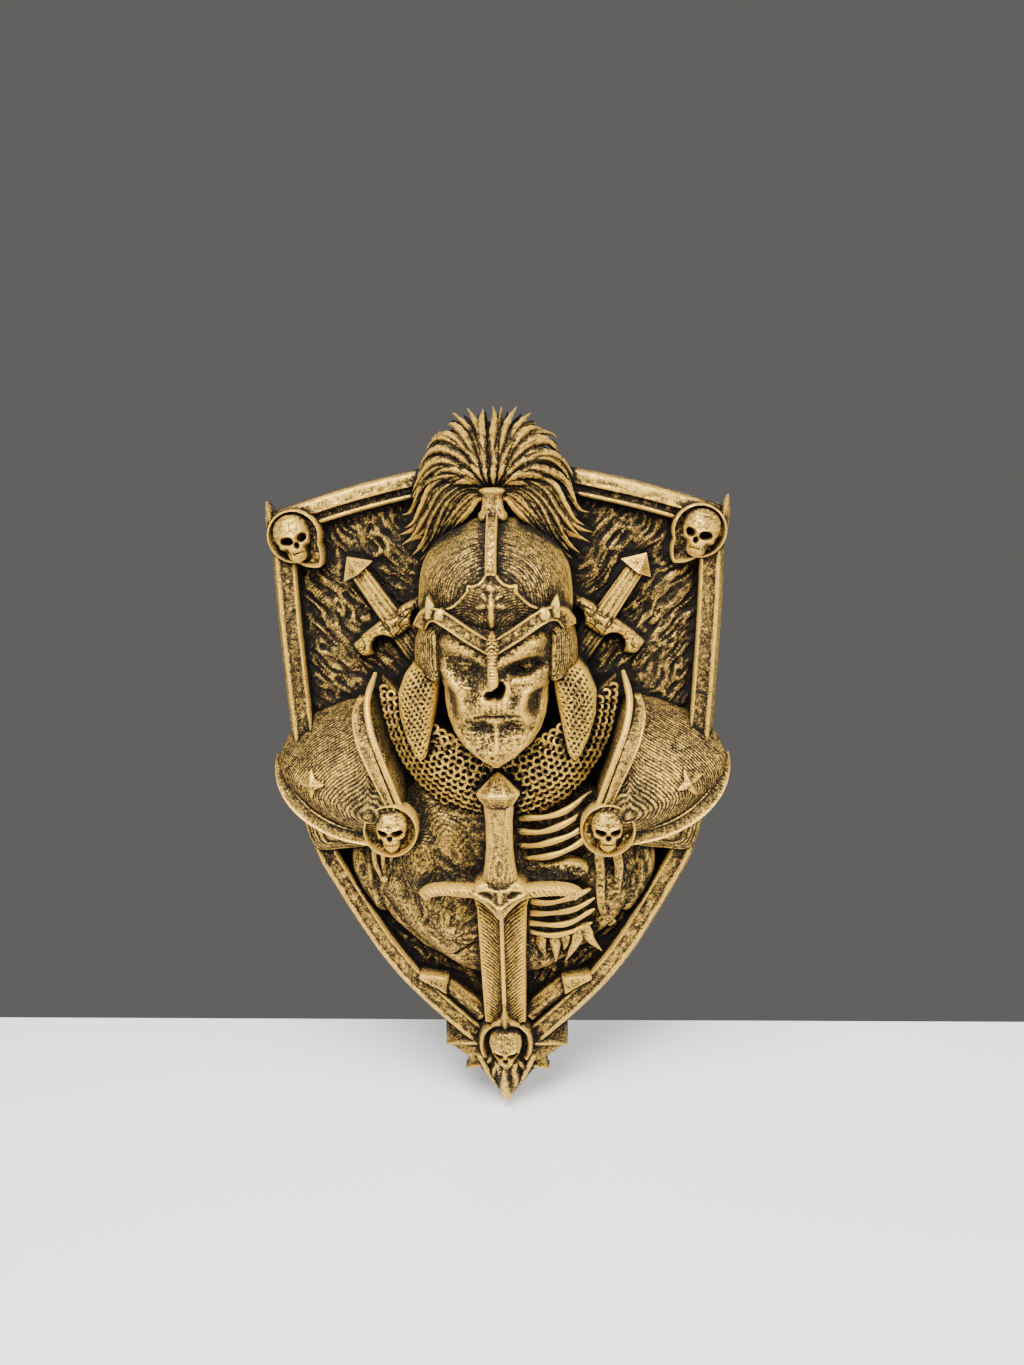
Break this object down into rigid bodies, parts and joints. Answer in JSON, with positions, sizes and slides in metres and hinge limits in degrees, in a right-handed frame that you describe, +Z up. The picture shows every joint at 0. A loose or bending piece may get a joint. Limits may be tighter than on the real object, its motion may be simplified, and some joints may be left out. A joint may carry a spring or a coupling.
{
  "type": "knight wall plaque",
  "caption": "Shield-shaped wall relief of a skull-faced knight in a crested helmet with a sword held point down, in antique gold over black.",
  "frame": {"origin": "on the flat back, on the plaque's middle line, 119 mm above the foot's tip", "axes": "+Z up along the plaque, +X to the viewer's right, +Y into the wall, so the relief faces -Y"},
  "size_m": [0.1372, 0.0386, 0.2196],
  "materials": {
    "antique_gold": "black base coat dry-brushed with antique gold"
  },
  "bodies": {
    "root": {"knight_plaque": "antique_gold"}
  },
  "joints": []
}
